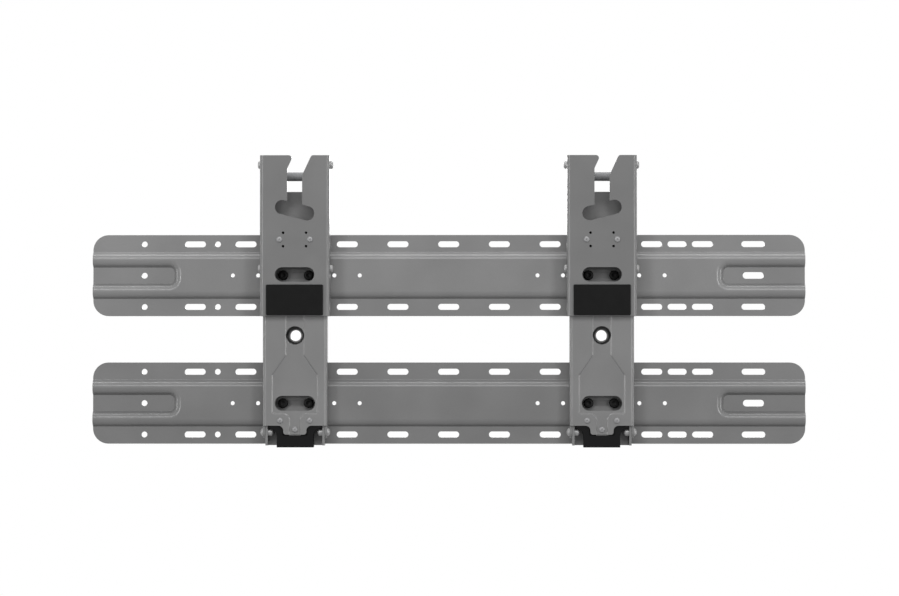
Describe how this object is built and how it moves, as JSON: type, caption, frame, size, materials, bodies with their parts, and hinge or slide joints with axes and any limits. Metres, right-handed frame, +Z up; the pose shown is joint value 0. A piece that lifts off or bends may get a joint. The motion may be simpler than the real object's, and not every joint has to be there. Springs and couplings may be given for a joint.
{
  "type": "fixed tv wall bracket",
  "caption": "Flat screen wall bracket: wall rails of pressed steel carry upright arms whose slotted hook plates take headed studs on the screen.",
  "frame": {"origin": "on the wall plane, midway between the two rails and between the two arms", "axes": "+X to the right along the rails, +Y into the wall, +Z up; the front faces -Y"},
  "size_m": [0.7128, 0.0413, 0.29],
  "materials": {
    "painted_steel": "satin",
    "black_bolt": "satin",
    "zinc": "satin",
    "pad_foam": "matte",
    "black_plastic": "matte"
  },
  "bodies": {
    "root": {"left_back_channel": "painted_steel", "left_block_screws": "zinc", "left_bottom_rivets": "zinc", "left_cross_rod": "zinc", "left_end_block": "black_plastic", "left_front_pad": "pad_foam", "left_hook_plate": "painted_steel", "left_lower_plate": "painted_steel", "left_lower_rail_bolts": "black_bolt", "left_middle_rivets": "zinc", "left_spacer_block": "black_plastic", "left_spacer_screws": "zinc", "left_tongue_screw": "zinc", "left_top_rivets": "zinc", "left_upper_rail_bolts": "black_bolt", "lower_wall_rail": "painted_steel", "right_back_channel": "painted_steel", "right_block_screws": "zinc", "right_bottom_rivets": "zinc", "right_cross_rod": "zinc", "right_end_block": "black_plastic", "right_front_pad": "pad_foam", "right_hook_plate": "painted_steel", "right_lower_plate": "painted_steel", "right_lower_rail_bolts": "black_bolt", "right_middle_rivets": "zinc", "right_spacer_block": "black_plastic", "right_spacer_screws": "zinc", "right_tongue_screw": "zinc", "right_top_rivets": "zinc", "right_upper_rail_bolts": "black_bolt", "upper_wall_rail": "painted_steel"}
  },
  "joints": []
}
